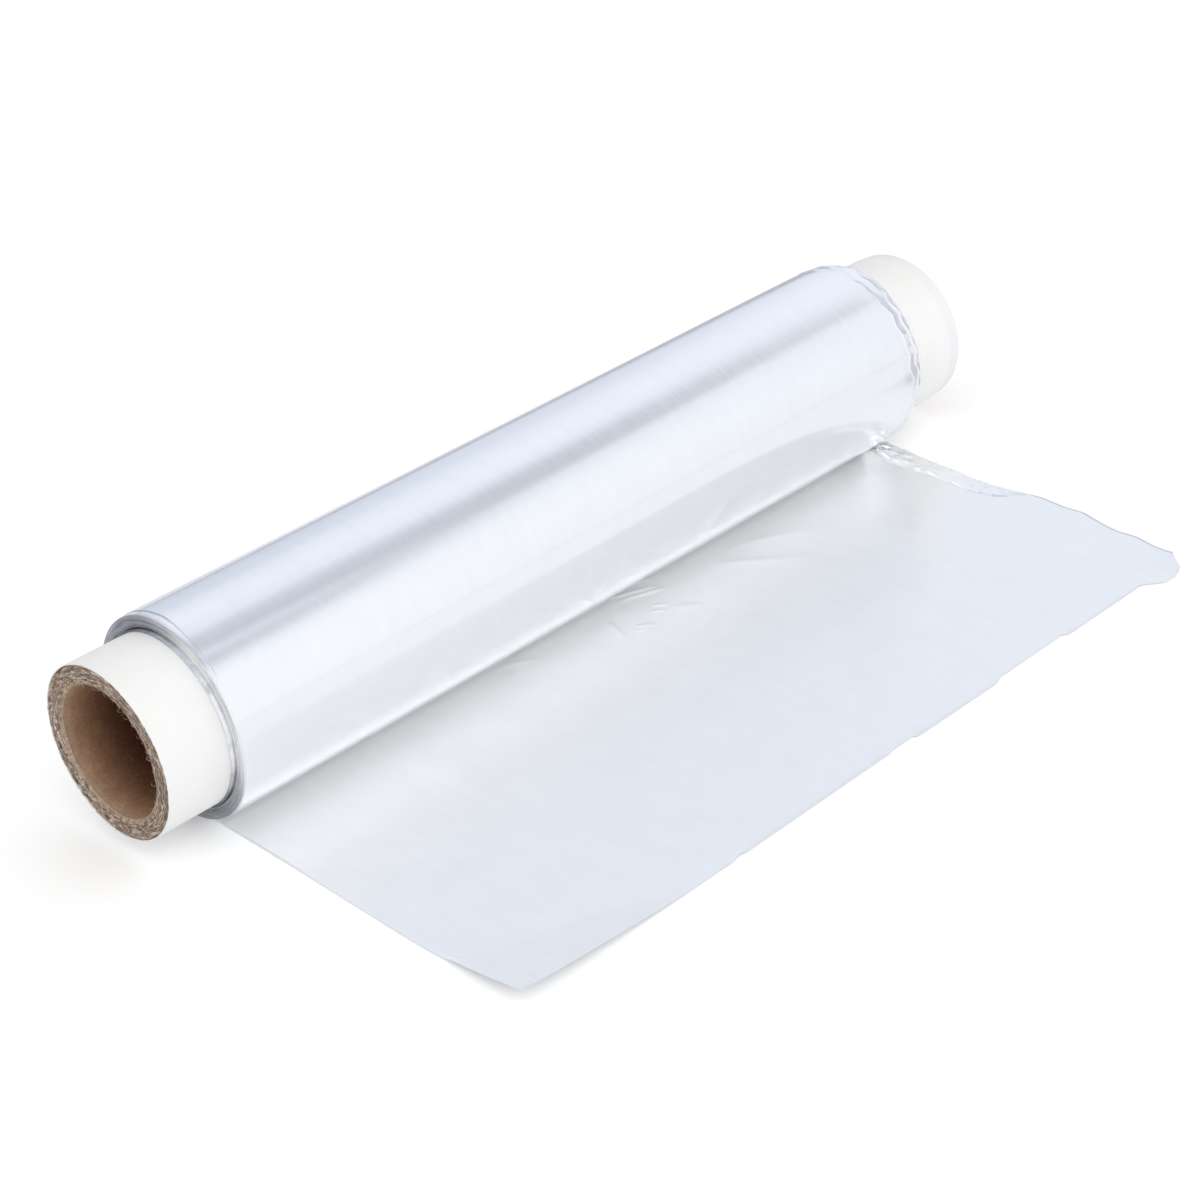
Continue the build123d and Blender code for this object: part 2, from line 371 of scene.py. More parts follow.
def sawn_fibres():
    area = math.pi * (tube_radius ** 2 - bore_radius ** 2)
    values = {"Density": fibre_count / area, "Length": fibre_length}
    values |= {"Thickness": fibre_radius, "Seed": fibre_seed}
    tree, given = modifier_tree("fibre_growth", values)
    dots = add_node(tree, "GeometryNodeDistributePointsOnFaces", {}, {
        "Mesh": given["Geometry"], "Density": given["Density"], "Seed": given["Seed"],
    })
    line = add_node(tree, "GeometryNodeCurveArc", {}, {
        "Resolution": 5, "Radius": arc_radius_share, "Sweep Angle": fibre_bend,
    })
    # the section is scaled with the fibre, so it is given as a share of the fibre's length
    unit_section = add_node(tree, "GeometryNodeCurvePrimitiveCircle", {}, {"Resolution": 3, "Radius": 1.0})
    share = given["Thickness"] / given["Length"]
    section = add_node(tree, "GeometryNodeTransform", {}, {
        "Geometry": unit_section,
        "Scale": add_node(tree, "ShaderNodeCombineXYZ", {}, {0: share, 1: share, 2: share}),
    })
    fibre = add_node(tree, "GeometryNodeCurveToMesh", {}, {
        "Curve": line, "Profile Curve": section, "Fill Caps": True,
    })
    turn = add_node(tree, "FunctionNodeRandomValue", {"data_type": "FLOAT_VECTOR"}, {
        0: turned_from, 1: turned_to, "Seed": given["Seed"],
    })
    size = add_node(tree, "FunctionNodeRandomValue", {"data_type": "FLOAT"}, {
        2: shortest_share, 3: 1.0, "Seed": size_seed,
    }, output=1)
    placed = add_node(tree, "GeometryNodeInstanceOnPoints", {}, {
        "Points": dots, "Instance": fibre, "Rotation": turn, "Scale": size * given["Length"],
    })
    solid = add_node(tree, "GeometryNodeRealizeInstances", {}, {"Geometry": placed})
    paint = paper_fibre()
    painted = add_node(tree, "GeometryNodeSetMaterial", {}, {"Geometry": solid, "Material": paint})
    radii = np.linspace(bore_radius + root_from_bore, tube_radius - root_from_outside, 4)[:, None]
    roots = ring(tube_low.x + root_depth, radii, round_angles(96))
    base = skin("sawn_face", roots, paint, close_columns=True)
    return grown("sawn_fibres", base, tree, painted, values)


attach(sawn_fibres(), "root")

# The white cover ply: one layer of smooth white paper, glued round the board tube before it was sawn.
# It shows on both stubs, with a thin raw edge at the near end and a pressed rim at the far end.
cover_low, cover_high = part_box("core_cover")
cover_radius = (cover_high.z - cover_low.z) / 2
cover_thickness = 0.33 * mm
cover_steps_round = 256
near_steps = (0, 0.15, 0.5, 1.2, 3, 8, 16, 24)
far_steps = (24, 12, 7, 5.2, 4.6, 3.8, 3.0, 2.2, 1.4, 0.7, 0.25, 0)
pressed_rim = 5.2 * mm
pressed_drop = 0.45 * mm
pressed_shading = 10 * mm
raw_edge, raw_wave = 1.2 * mm, 1.6 * mm
raw_depth, raw_wave_depth = 0.12 * mm, 0.2 * mm
paper_grain = 0.06 * mm


def smooth(share):
    """Eases a share between 0 and 1 in and out."""
    return 3 * share ** 2 - 2 * share ** 3


def white_paper():
    paper, tree, shader = finish("white_paper", Specular_IOR_Level=0.3)
    place = object_place(tree)
    cloud = speckle(tree, place, 60, 3.0, 0.5)
    grain = speckle(tree, place, 1800, 3.0, 0.6)
    tone = cloud * 0.7 + grain * 0.3
    plain = ramp(tree, tone, (0.35, (0.868, 0.866, 0.856)), (0.65, (0.90, 0.90, 0.896)))
    # painted shade: a darker, bluish band over the pressed rim, darkest along a line about 1.4 mm from the
    # far end
    rim_painted_shade = ramp(
        tree, (cover_high.x - split(tree, place)[0]) / pressed_shading,
        (0.10, grey(0.6)), (0.14, grey(1)), (0.19, grey(0.6)), (0.44, grey(0.85)), (0.54, grey(0)),
    )
    feed(tree, shader, Base_Color=blend_colours(tree, rim_painted_shade, plain, (0.85, 0.84, 0.885, 1)))
    feed(tree, shader, Roughness=0.58 + grain * 0.12, Normal=bump(tree, grain, paper_grain, 0.6))
    return paper


def paper_cover():
    near, far = cover_low.x, cover_high.x
    along = np.concatenate([
        near + np.array(near_steps) * mm,
        np.linspace(near + 40 * mm, far - 30 * mm, 10),
        far - np.array(far_steps) * mm,
    ])
    rim = np.clip((along - (far - pressed_rim)) / pressed_rim, 0, 1)
    outer = cover_radius - pressed_drop * smooth(rim)
    x = np.concatenate([along, along[::-1]])[:, None]
    radius = np.concatenate([outer, outer[::-1] - cover_thickness])[:, None]
    points = ring(x, radius, round_angles(cover_steps_round))
    edge = np.clip(1 - (x - near) / raw_edge, 0, 1)
    ragged = rough(points[..., 0] * 0, points[..., 1], points[..., 2], raw_wave, 3)
    points[..., 0] += edge * np.clip(raw_depth + raw_wave_depth * ragged, 0, None)
    return skin("paper_cover", points, white_paper(), close_rows=True, close_columns=True)


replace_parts(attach(paper_cover(), "root"), "core_cover")

# The wound foil: one long strip of rolled aluminium, wound tight round the core, bright side out.
# The last turn sits up to 3 mm further in at the near end, and the far rim is crushed down and pleated.
foil_width = 300 * mm
foil_near = -foil_width / 2
roll_radius = axis_height
winding_radius = cover_radius + 0.15 * mm
foil_steps_round = 420
drawn_height, wrinkle_height, turn_height = 0.012 * mm, 0.05 * mm, 0.28 * mm
# the collar of the innermost turns and the gap behind it: millimetres in from the end and out from the core
collar = ((1.2, 0.0), (-1.15, 0.0), (-1.2, 0.12), (-1.15, 0.24), (0.6, 0.3), (1.5, 0.42))
collar_gap = 0.75 * mm
turn_steps, turn_step, turn_dish = 20, 0.14 * mm, 0.15 * mm
lip_drop, lip_inset = 0.45 * mm, 0.5 * mm
last_turn = 0.4 * mm
last_turn_inset = 3.0 * mm
last_turn_front_inset = 0.9 * mm
last_turn_wander, wander_wave = 0.3 * mm, 1.7 * mm
last_turn_bend, bend_length = 0.16 * mm, 2.2 * mm
far_dish = 1.5 * mm
inner_rows = 6 * mm
# waves round the roll: height in millimetres, count, start, and twist along the roll
flutes = ((0.030, 9, 1.1, 6), (0.018, 17, 0.4, -9), (0.010, 31, 2.0, 4))
crush_length = 15 * mm
crush_waves = 26
crushed_at = (0, 0.25, 0.5, 0.585, 0.625, 0.8, 0.9, 0.94, 1.0)
crushed_drop = (0, 0.06, 0.46, 0.66, 1.15, 1.85, 2.1, 2.5, 2.75)
scallop_depth = 0.55 * mm
scallops = ((1.0, crush_waves, 0.0), (0.6, 17, 1.0), (0.4, 11, 3.0))
# beads pressed round the far rim: place, width and height in millimetres
rim_beads = ((293.6, 0.45, 0.30), (298.4, 0.45, 0.34))
pucker_height, pleat_height, pleat_count = 0.13 * mm, 0.16 * mm, 15


def stretched(tree, place, y):
    return add_node(tree, "ShaderNodeVectorMath", {"operation": "MULTIPLY"}, {0: place, 1: (1.0, y, 1.0)})


def rolled_foil(name, roughness, colour):
    """Rolled aluminium: fine drawn lines along the strip, and a duller, ringed finish on the turns' edges,
    painted grey as shade between the stacked turns, with a painted highlight on their side toward the light.
    """
    foil, tree, shader = finish(name, Metallic=1.0)
    unrolled = add_node(tree, "ShaderNodeUVMap", {"uv_map": "unrolled"})
    drawn = speckle(tree, stretched(tree, unrolled, 0.03), 2600, 3.0, 0.55)
    faint = speckle(tree, stretched(tree, unrolled, 0.12), 330, 3.0, 0.5)
    soft = speckle(tree, unrolled, 90, 2.0, 0.5)
    edges = add_node(tree, "ShaderNodeAttribute", {"attribute_name": "turn_edges"}, output=2)
    polish_and_painted_highlight = add_node(tree, "ShaderNodeAttribute", {"attribute_name": "turn_shine"}, output=2)
    rings = round_the_axis(tree, 0.0, 0.04)[0]
    turns = speckle(tree, rings, 5200, 4.0, 0.75)
    groups = speckle(tree, rings, 1100, 2.0, 0.5)
    face = ramp(tree, faint * 0.5 + soft * 0.5, (0.36, [0.975 * c for c in colour]), (0.64, colour))
    edge_tone = turns * 0.5 + groups * 0.5
    # the turns' edges are painted grey for the shade between the stacked turns, and lighter with a painted
    # highlight on the side toward the light
    edge_grey_painted_shade = ramp(
        tree, edge_tone, (0.36, (0.19, 0.19, 0.205)), (0.50, (0.40, 0.40, 0.42)), (0.64, (0.66, 0.66, 0.68)),
    )
    edge_painted_highlight = ramp(
        tree, edge_tone, (0.38, (0.62, 0.62, 0.63)), (0.48, (0.88, 0.88, 0.885)), (0.6, grey(0.97)),
    )
    edge_colour = blend_colours(tree, polish_and_painted_highlight, edge_grey_painted_shade, edge_painted_highlight)
    feed(tree, shader, Base_Color=blend_colours(tree, edges, face, edge_colour))
    rolled = roughness + (drawn - 0.5) * 0.10 + (soft - 0.5) * 0.05
    feed(tree, shader, Roughness=rolled + edges * (0.42 - polish_and_painted_highlight * 0.14 - rolled))
    lines = bump(tree, drawn, drawn_height, 1.0)
    ringed = bump(tree, turns * edges * (1.0 - polish_and_painted_highlight * 0.7), turn_height, 0.7, under=lines)
    feed(tree, shader, Normal=bump(tree, faint, wrinkle_height, 0.8, under=ringed))
    return foil


def zigzag(turns):
    """A wave of straight folds between -1 and 1."""
    return 2 / math.pi * np.arcsin(np.sin(turns))


def roll_surface(x, angles):
    """The roll's outer radius where the foil is wound, waved and crushed. x runs from the near foil end."""
    degrees = np.degrees(angles)
    waves = sum(height * np.sin(count * angles + start + x * twist) for height, count, start, twist in flutes)
    # the waves only dip in, so that the roll keeps its size
    radius = roll_radius + (waves - sum(height for height, *_ in flutes)) * mm
    crush = np.clip((x - (foil_width - crush_length)) / crush_length, 0, 1)
    # over the top of the roll the rim is crushed less
    top = np.clip((degrees - 38) / 45, 0, 1) * np.clip((190 - degrees) / 50, 0, 1)
    full = 1 - 0.66 * smooth(top)
    scallop = scallop_depth * sum(share * zigzag(count * angles + start) for share, count, start in scallops)
    waved = crush - scallop / crush_length * np.clip(crush * 3, 0, 1)
    drop = np.interp(waved, crushed_at, crushed_drop)
    beads = 0
    for place, width, height in rim_beads:
        off = (x - place * mm - scallop) / (width * mm)
        beads = beads + height * mm * np.exp(-np.abs(off) ** 1.3)
    pucker = pucker_height * crush ** 2 * zigzag(crush_waves * angles + 0.7 + 4 * crush)
    rim = np.clip((crush - 0.55) / 0.3, 0, 1)
    pleats = pleat_height * rim * zigzag(pleat_count * angles + 2.0 - 5 * crush)
    return radius - drop * full * mm + beads + (pucker + pleats) * (1 - 0.6 * top)


def wound_foil():
    angles = round_angles(foil_steps_round)
    degrees = np.degrees((angles + math.pi) % math.tau - math.pi)
    # from the thin collar of the innermost turns, over the gap behind it, and out across the turns' edges
    collar_x, collar_r = np.array(collar).T * mm
    turns_end = roll_radius - last_turn - lip_drop
    near_r = np.linspace(winding_radius + collar_gap, turns_end, turn_steps)
    uneven = np.array([0.5 + 0.5 * math.sin(7.3 * k * k + 2.1 * k) for k in range(turn_steps)])
    near_x = turn_step * uneven + turn_dish * np.linspace(1, 0, turn_steps)
    lip_turn = np.linspace(0, math.pi / 2, 6)[1:]
    lip_x = lip_inset * (1 - np.cos(lip_turn))
    lip_r = turns_end + lip_drop * np.sin(lip_turn)
    shelf_share = np.array([0.35, 0.7, 0.95])
    edge_x = np.array([0.03, 0.12, 0.6, 1.4]) * mm
    outer_x = np.concatenate([
        np.linspace(inner_rows, foil_width - crush_length, 84),
        np.linspace(foil_width - crush_length, foil_width, 66)[1:],
    ])
    far_share = np.linspace(1, 0, 8)[1:]
    back_x = np.array([foil_width - inner_rows, foil_width / 2, inner_rows])
    in_front = np.clip(np.cos(angles), 0, 1)
    wander = rough(angles * 0, 4 * np.cos(angles) * mm, 4 * np.sin(angles) * mm, wander_wave, 3)
    inset = last_turn_inset - (last_turn_inset - last_turn_front_inset) * in_front + last_turn_wander * wander
    end_x = np.concatenate([collar_x, near_x, lip_x])
    end_r = np.concatenate([winding_radius + collar_r, near_r, lip_r])
    rows = [(x + 0 * angles, r + 0 * angles) for x, r in zip(end_x, end_r)]
    edge_rows = len(rows)
    shelf_r = roll_radius - last_turn + 0 * angles
    rows += [(lip_x[-1] + (inset - lip_x[-1]) * share, shelf_r) for share in shelf_share]
    rows += [(inset + x, roll_surface(inset + x, angles)) for x in edge_x]
    rows += [(x + 0 * angles, roll_surface(x, angles)) for x in outer_x]
    # the last turn bends down a little to its edge
    rows = [
        (x, radius - last_turn_bend * np.exp(-(x - inset) / bend_length) * (x >= inset)) for x, radius in rows
    ]
    rim = rows[-1][1]
    rows += [
        (foil_width - far_dish * (1 - share) + 0 * angles, winding_radius + (rim - winding_radius) * share)
        for share in far_share
    ]
    rows += [(x + 0 * angles, winding_radius + 0 * angles) for x in back_x]
    x, radius = (np.concatenate(column) for column in zip(*rows))
    points = ring(foil_near + x, radius, angles)
    round_share = np.linspace(0, 1, foil_steps_round + 1)[None, :]
    arc = np.broadcast_to(round_share * math.tau * roll_radius, (len(points), foil_steps_round + 1))
    along = np.concatenate([points[..., 0], points[:, :1, 0]], axis=1)
    uv = np.stack([along, arc], axis=-1)
    # the turns' edges fill the collar and end face; the lip's last two rows take some of their grey as
    # painted shade, and a painted shadow line runs under the last turn's edge over the top of the roll
    turn_edges = np.zeros(points.shape[:2])
    turn_edges[:edge_rows - 2] = 1
    turn_edges[edge_rows - 2:edge_rows] = 0.4
    turn_edges[edge_rows + 2:edge_rows + 4] = 0.75 * np.exp(-((degrees - 104) / 30) ** 2)
    # painted highlight: the end face is lighter, and smoother, about 28 degrees up from the front, on the
    # side toward the light
    side_toward_light = np.clip(1.35 - np.abs(degrees - 28) / 60, 0, 1)
    turn_shine = np.zeros(points.shape[:2])
    turn_shine[:edge_rows] = smooth(side_toward_light)
    foil = rolled_foil("bright_foil", 0.13, (0.955, 0.96, 0.97))
    marks = {"turn_edges": turn_edges, "turn_shine": turn_shine}
    return skin("wound_foil", points, foil, close_rows=True, close_columns=True, uv=uv, marks=marks)


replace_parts(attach(wound_foil(), "root"), "foil")

# The loose sheet: the end of the same strip, drawn out from under the roll with its matt side up.
# It lies on the table, with a bent near corner, a torn free edge and soft wrinkles by the roll.
# Listed places are millimetres from the near foil end and from under the roll's axis.
sheet_back = 3.2 * mm
sheet_gauge = 0.06 * mm
lowest = 0.05 * mm
lie_height, lie_run = 0.25 * mm, 20 * mm
long_swell, long_swell_wave = 0.20 * mm, 70 * mm
short_swell, short_swell_wave = 0.05 * mm, 18 * mm
corner_crease = ((0.8, -109), (66, -138))
corner_lift, corner_reach = 4.5 * mm, 26.5 * mm
crease_step, crease_before, crease_width, crease_fade = 0.85 * mm, 1.4 * mm, 2.4 * mm, 62 * mm
mound_place, mound_width, mound_height = (288.5, -16), 4.5 * mm, 2.6 * mm
curl_place, curl_run, curl_height = (285, -126), (12, 14), 2.0 * mm
lip_height, lip_run, lip_end = 0.26 * mm, 1.3 * mm, 1 * mm
sheet_column_count, sheet_row_count = 330, 146
fold_share = 0.55
near_side = [
    (4, 3.0), (-17, 2.8), (-41, 2.3), (-63, 1.7), (-80, 1.3), (-96, 0.9), (-108, 1.1), (-126, 1.2),
    (-138, 1.7),
]
far_side = [
    (4, 299.5), (-11, 300.6), (-22, 300.8), (-40, 300), (-54, 299), (-62, 299.4), (-70, 301), (-80, 302.8),
    (-90, 302), (-97, 302.8), (-107, 300), (-112, 299.2), (-119, 300), (-128, 298), (-133, 297),
    (-139, 294.5),
]
torn_edge = [
    (0, -136.5), (4, -137.0), (9, -137.5), (20, -137.6), (60, -137.8), (83, -137.8), (86, -136.9),
    (88, -137.7), (150, -137.4), (154, -136.8), (162, -136.9), (163, -138.1), (201, -138.3), (203, -137.0),
    (235, -136.9), (237, -138.4), (275, -138.4), (277, -140), (281, -143.2), (286, -143.6), (291, -142.2),
    (295, -137), (301, -132),
]
raised_lips = ((88, 150), (163, 201), (237, 275))
# where the grid is finer: place and density
sheet_columns = [(0, 1.1), (60, 1.1), (70, 0.7), (140, 0.8), (146, 3.6), (182, 3.6), (188, 1.1), (300, 1.1)]
sheet_rows = [
    (-3.2, 0.4), (7, 0.5), (9, 3.2), (38, 3.2), (42, 1.1), (100, 0.8), (108, 1.5), (134, 1.5), (136, 3.5),
    (138, 3.5),
]
# small folds: from, to, width and height
folds = [
    ((122, -12), (112, -24), 2.2, 0.5), ((163, -11.5), (179, -18.5), 0.7, 1.0),
    ((164, -15.5), (180, -21.5), 0.8, 0.95), ((172, -10.5), (182, -13.5), 0.7, 0.7),
    ((165.5, -28), (169.5, -31), 0.6, 0.8), ((168.5, -25.8), (172.5, -29), 0.6, 0.7),
    ((156, -30.5), (161.5, -34.5), 0.6, 0.85), ((154, -32.4), (159, -36), 0.6, 0.6),
    ((152.5, -22), (148.5, -33), 1.3, 0.6), ((172, -32), (180, -38), 1.1, 0.45),
    ((112, -14), (124, -21), 0.9, 0.5), ((200, -22), (233, -56), 2.2, 0.75),
    ((214, -20), (238, -34), 2.6, 0.5), ((168, -47), (180, -45), 1.4, 0.35),
    ((170, -56), (182, -53), 1.6, 0.35), ((138, -64), (176, -71), 2.4, 0.35),
    ((100, -52), (117, -60), 2.2, 0.35), ((118, -66), (124, -71), 1.6, 0.35),
    ((170, -92), (177, -93), 2.0, 0.3), ((2, -67), (50, -69), 2.8, 0.45),
    ((4, -80), (32, -86), 2.6, 0.4), ((20, -86), (40, -90), 2.2, 0.3),
    ((250, -104), (262, -110), 3.2, 0.4), ((277, -27), (291, -9), 2.2, 1.5),
    ((268, -30), (284, -12), 3.0, 0.7), ((60, -20), (64, -60), 5.0, 0.35),
    ((236, -70), (290, -48), 5.0, 0.35), ((205, -96), (285, -70), 6.0, 0.3),
    ((90, -30), (98, -52), 4.0, 0.3),
]


def between(values, places):
    """Reads a given line of (place, value) pairs in millimetres at the places asked, in metres."""
    place, value = np.array(values, float).T
    order = np.argsort(place)
    return np.interp(places / mm, place[order], value[order]) * mm


def ridge(x, y, start, end, width, height):
    """A soft fold along a line between two points of the sheet, highest in its middle."""
    start, end = np.array(start) * mm, np.array(end) * mm
    run = end - start
    along = ((x - start[0]) * run[0] + (y - start[1]) * run[1]) / (run @ run)
    off = np.hypot(x - start[0] - along * run[0], y - start[1] - along * run[1])
    ends = np.clip(1 - np.abs(2 * along - 1) ** 3, 0, 1)
    return fold_share * height * mm * np.exp(-np.abs(off / (width * mm)) ** 1.5) * ends


def sheet_height(x, y):
    """How far the sheet stands off the table. x from the near foil end, y from under the roll's axis."""
    swell = long_swell * rough(x, y, x * 0, long_swell_wave, 2)
    swell = swell + short_swell * rough(x, y, x * 0 + 5, short_swell_wave, 2)
    height = (lie_height + swell) * np.clip(-y / lie_run, 0, 1)
    for start, end, width, tall in folds:
        height = height + ridge(x, y, start, end, width, tall)
    crease_from, crease_to = np.array(corner_crease) * mm
    run = (crease_to - crease_from) / np.linalg.norm(crease_to - crease_from)
    past = (x - crease_from[0]) * run[1] - (y - crease_from[1]) * run[0]
    corner = np.clip(past / corner_reach, 0, None)
    fading = np.clip(1 - (x - crease_from[0]) / crease_fade, 0, 1)
    crease = crease_step * fading * smooth(np.clip((past + crease_before) / crease_width, 0, 1))
    height = height + (corner_lift - crease_step) * corner ** 1.1 + crease
    mound_x, mound_y = np.array(mound_place) * mm
    mound = np.exp(-((x - mound_x) / mound_width) ** 2 - ((y - mound_y) / mound_width) ** 2)
    height = height + mound_height * mound
    (curl_x, curl_y), (run_x, run_y) = np.array((curl_place, curl_run)) * mm
    curl = np.clip((x - curl_x) / run_x, 0, 1) * np.clip((curl_y - y) / run_y, 0, 1)
    height = height + curl_height * curl ** 1.5
    return np.clip(height, lowest, None)


def spread(density, count):
    """Steps from 0 to 1 that lie closer together where the given (place, density) line is higher."""
    place, value = np.array(density, float).T
    fine = np.linspace(place[0], place[-1], 2000)
    total = np.cumsum(np.interp(fine, place, value))
    total = (total - total[0]) / (total[-1] - total[0])
    return np.interp(np.linspace(0, 1, count), total, (fine - fine[0]) / (fine[-1] - fine[0]))


def matt_foil():
    """The strip's duller side: grey-white and less metallic by the roll, which is painted light that lightens
    the shade beside the roll, and full metal further out.
    """
    foil = rolled_foil("matt_foil", 0.34, (0.935, 0.94, 0.948))
    tree, shader = foil.node_tree, foil.node_tree.nodes["Principled BSDF"]
    # painted light: the ramp runs from under the roll's axis to 100 mm out, and the sheet is less metallic
    # nearer the roll so that its shade there renders lighter
    out = split(tree, object_place(tree))[1] * -10.0
    metal = ramp(tree, out, (0.16, grey(0.03)), (0.25, grey(0.5)), (0.36, grey(0.88)), (0.5, grey(1)))
    feed(tree, shader, Metallic=metal)
    return foil


def thicken(piece, offset):
    """Gives foil its gauge, on both sides of the surface at offset 0 and all underneath at -1."""
    gauge = piece.modifiers.new("gauge", "SOLIDIFY")
    gauge.thickness = sheet_gauge
    gauge.offset = offset
    return gauge


def loose_sheet():
    across = spread(sheet_columns, sheet_column_count)[None, :]
    out = spread(sheet_rows, sheet_row_count)[:, None]
    x = np.broadcast_to(across * foil_width, (sheet_row_count, sheet_column_count))
    free = between(torn_edge, x)
    y = sheet_back + (free - sheet_back) * out
    left, right = between(near_side, y), between(far_side, y)
    x = left + (right - left) * across
    free = between(torn_edge, x)
    y = sheet_back + (free - sheet_back) * out
    z = sheet_height(x, y)
    # along three stretches the last millimetre before the tear stands up a little
    lip = np.clip(1 - (y - free) / lip_run, 0, 1)
    for lip_from, lip_to in raised_lips:
        inside = np.clip(np.minimum(x - lip_from * mm, lip_to * mm - x) / lip_end, 0, 1)
        z = z + lip_height * lip * inside
    points = np.stack([foil_near + x, y, z], axis=-1)
    sheet = skin("loose_sheet", points, matt_foil(), uv=np.stack([x, y], axis=-1))
    # its underside and its edges are bright
    sheet.data.materials.append(bpy.data.materials["bright_foil"])
    gauge = thicken(sheet, 0)
    gauge.material_offset = 1
    gauge.material_offset_rim = 1
    return sheet


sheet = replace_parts(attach(loose_sheet(), "root"), "foil")

# The folded side: a strip of the sheet's far side that was folded over and crumpled, bright side up.
# It is tightest where it is pinched under the roll, and it flattens out along the sheet.
hem_from, hem_to = -8 * mm, -76.5 * mm
hem_columns, hem_rows = 56, 200
hem_off_edge, hem_off_sheet, hem_least = 0.1 * mm, 0.03 * mm, 0.1 * mm
inner_waver, inner_waver_wave = 0.35 * mm, 6 * mm
pinch_place, pinch_width = -15 * mm, 6.5 * mm
facet_width, facet_length = 3.2 * mm, 6 * mm
grain_wave, crease_wave, crease_swell_wave = 3 * mm, 13 * mm, 7 * mm
kink_length, kink_wave = 3.1 * mm, 11 * mm
steep_from, steep_run, slope_wave = -46 * mm, 22 * mm, 6 * mm
inner_side = [
    (-8, 293), (-13, 291.6), (-20, 289.8), (-28, 290.4), (-34, 290.6), (-44, 291.8), (-54, 291.0),
    (-61, 291.6), (-66, 292.6), (-70, 295.4), (-73.5, 298.8), (-76.5, 302.0),
]
# creases down the strip: place and width as shares of its width, and height in millimetres
hem_creases = [
    (0.20, 0.05, 0.25), (0.31, 0.04, 0.4), (0.42, 0.04, 0.5), (0.54, 0.05, 0.3), (0.65, 0.04, 0.45),
    (0.78, 0.05, 0.3), (0.90, 0.04, 0.4),
]


def down_the_strip(y, number, wave, octaves):
    """Noise that changes only down the strip, with a number that sets each of its uses apart."""
    return rough(y, y * 0, y * 0 + number, wave, octaves)


def folded_side():
    across = np.linspace(0, 1, hem_columns)[None, :]
    down = np.linspace(0, 1, hem_rows)[:, None]
    y = hem_from + (hem_to - hem_from) * down + 0 * across
    edge = between(far_side, y)
    inner = between(inner_side, y) + inner_waver * down_the_strip(y, 2, inner_waver_wave, 2)
    x = inner + (edge - hem_off_edge - inner) * across
    fade = np.clip((1 - down) / 0.25, 0, 1) ** 0.7
    pinch = np.exp(-((y - pinch_place) / pinch_width) ** 2)
    cells = [
        noise.voronoi(Vector((a / facet_width, b / facet_length, 3.0)))[0]
        for a, b in zip(x.reshape(-1).tolist(), y.reshape(-1).tolist())
    ]
    facets = np.array([far - near for near, far, *_ in cells]).reshape(x.shape)
    # heights are in millimetres until all the creases are in
    height = 0.5 + 0.5 * np.clip(1 - 1.6 * facets, 0, 1) + 0.1 * rough(x, y, x * 0 + 1, grain_wave, 2)
    # long creases run down the strip, each one waving and coming and going on its own
    for number, (place, width, tall) in enumerate(hem_creases):
        wave = 0.07 * down_the_strip(y, number, crease_wave, 3)
        swell = np.clip(0.65 + 0.5 * down_the_strip(y, 9 + number, crease_swell_wave, 2), 0.1, 1.3)
        height = height + tall * swell * np.exp(-np.abs((across - place - wave) / width) ** 1.1)
    kinks = zigzag(y / kink_length + 5 * across + 2.5 * down_the_strip(y, 4, kink_wave, 2))
    height = (height + 0.16 * kinks * np.clip(across * (1 - across) * 4, 0, 1)) * mm
    height = height * (0.85 + 0.45 * pinch) * (0.2 + 0.8 * fade)
    by_the_roll = np.clip((y - steep_from) / steep_run, 0, 1)
    slope = 0.10 + 0.30 * by_the_roll + 0.06 * down_the_strip(y, 17, slope_wave, 3)
    rise = np.clip(across / slope, 0, 1)
    body = (0.12 + 0.88 * smooth(rise)) * np.clip((1 - across) / 0.12, 0, 1) ** 0.7
    z = sheet_height(x, y) + body * np.clip(height, hem_least, None) + hem_off_sheet
    points = np.stack([foil_near + x, y, z], axis=-1)
    hem = skin("folded_side", points, bpy.data.materials["bright_foil"], uv=np.stack([x, y], axis=-1))
    thicken(hem, -1)
    return hem


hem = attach(folded_side(), "root")

# The table and the room: a plain pale table, a wide soft lamp overhead and white walls.
# The walls have darker gaps between their lit panels, which polished foil shows as streaks.
overhead_power, front_power = 1.9, 1.4
lamp_target = Vector((0, -0.03, 0.03))
table_side, table_drop = 6.0, 0.05 * mm
# each wall: degrees up from the front and over to the back, level, and how blue
near_walls = (
    (0, 0.99, 0.04), (30, 1.00, 0.04), (48, 0.99, 0.05), (62, 0.90, 0.08), (71, 0.63, 0.11),
    (79, 0.80, 0.11), (87, 0.60, 0.11), (97, 0.68, 0.11), (108, 0.85, 0.12), (126, 0.92, 0.10),
    (144, 0.85, 0.10), (158, 0.75, 0.14), (180, 0.66, 0.14),
)
middle_walls = (
    (0, 0.94, 0.04), (36, 0.98, 0.05), (60, 0.94, 0.06), (70, 0.86, 0.08), (79, 0.62, 0.10),
    (87, 0.60, 0.11), (97, 0.80, 0.11), (108, 0.90, 0.11), (122, 0.93, 0.10), (134, 0.90, 0.10),
    (146, 0.85, 0.11), (162, 0.79, 0.13), (180, 0.74, 0.13),
)
far_walls = (
    (0, 0.92, 0.06), (48, 0.94, 0.08), (64, 0.93, 0.08), (79, 0.89, 0.08), (84, 0.79, 0.08),
    (90, 0.88, 0.09), (120, 0.93, 0.09), (146, 0.93, 0.09), (166, 0.86, 0.11), (180, 0.82, 0.12),
)


def ways_seen(tree):
    """Three wires: seen straight by the camera, mirrored in polished foil, and the ray's depth."""
    node = add_node(tree, "ShaderNodeLightPath").socket.node
    return [Wire(tree, node.outputs[name]) for name in ("Is Camera Ray", "Is Glossy Ray", "Ray Depth")]


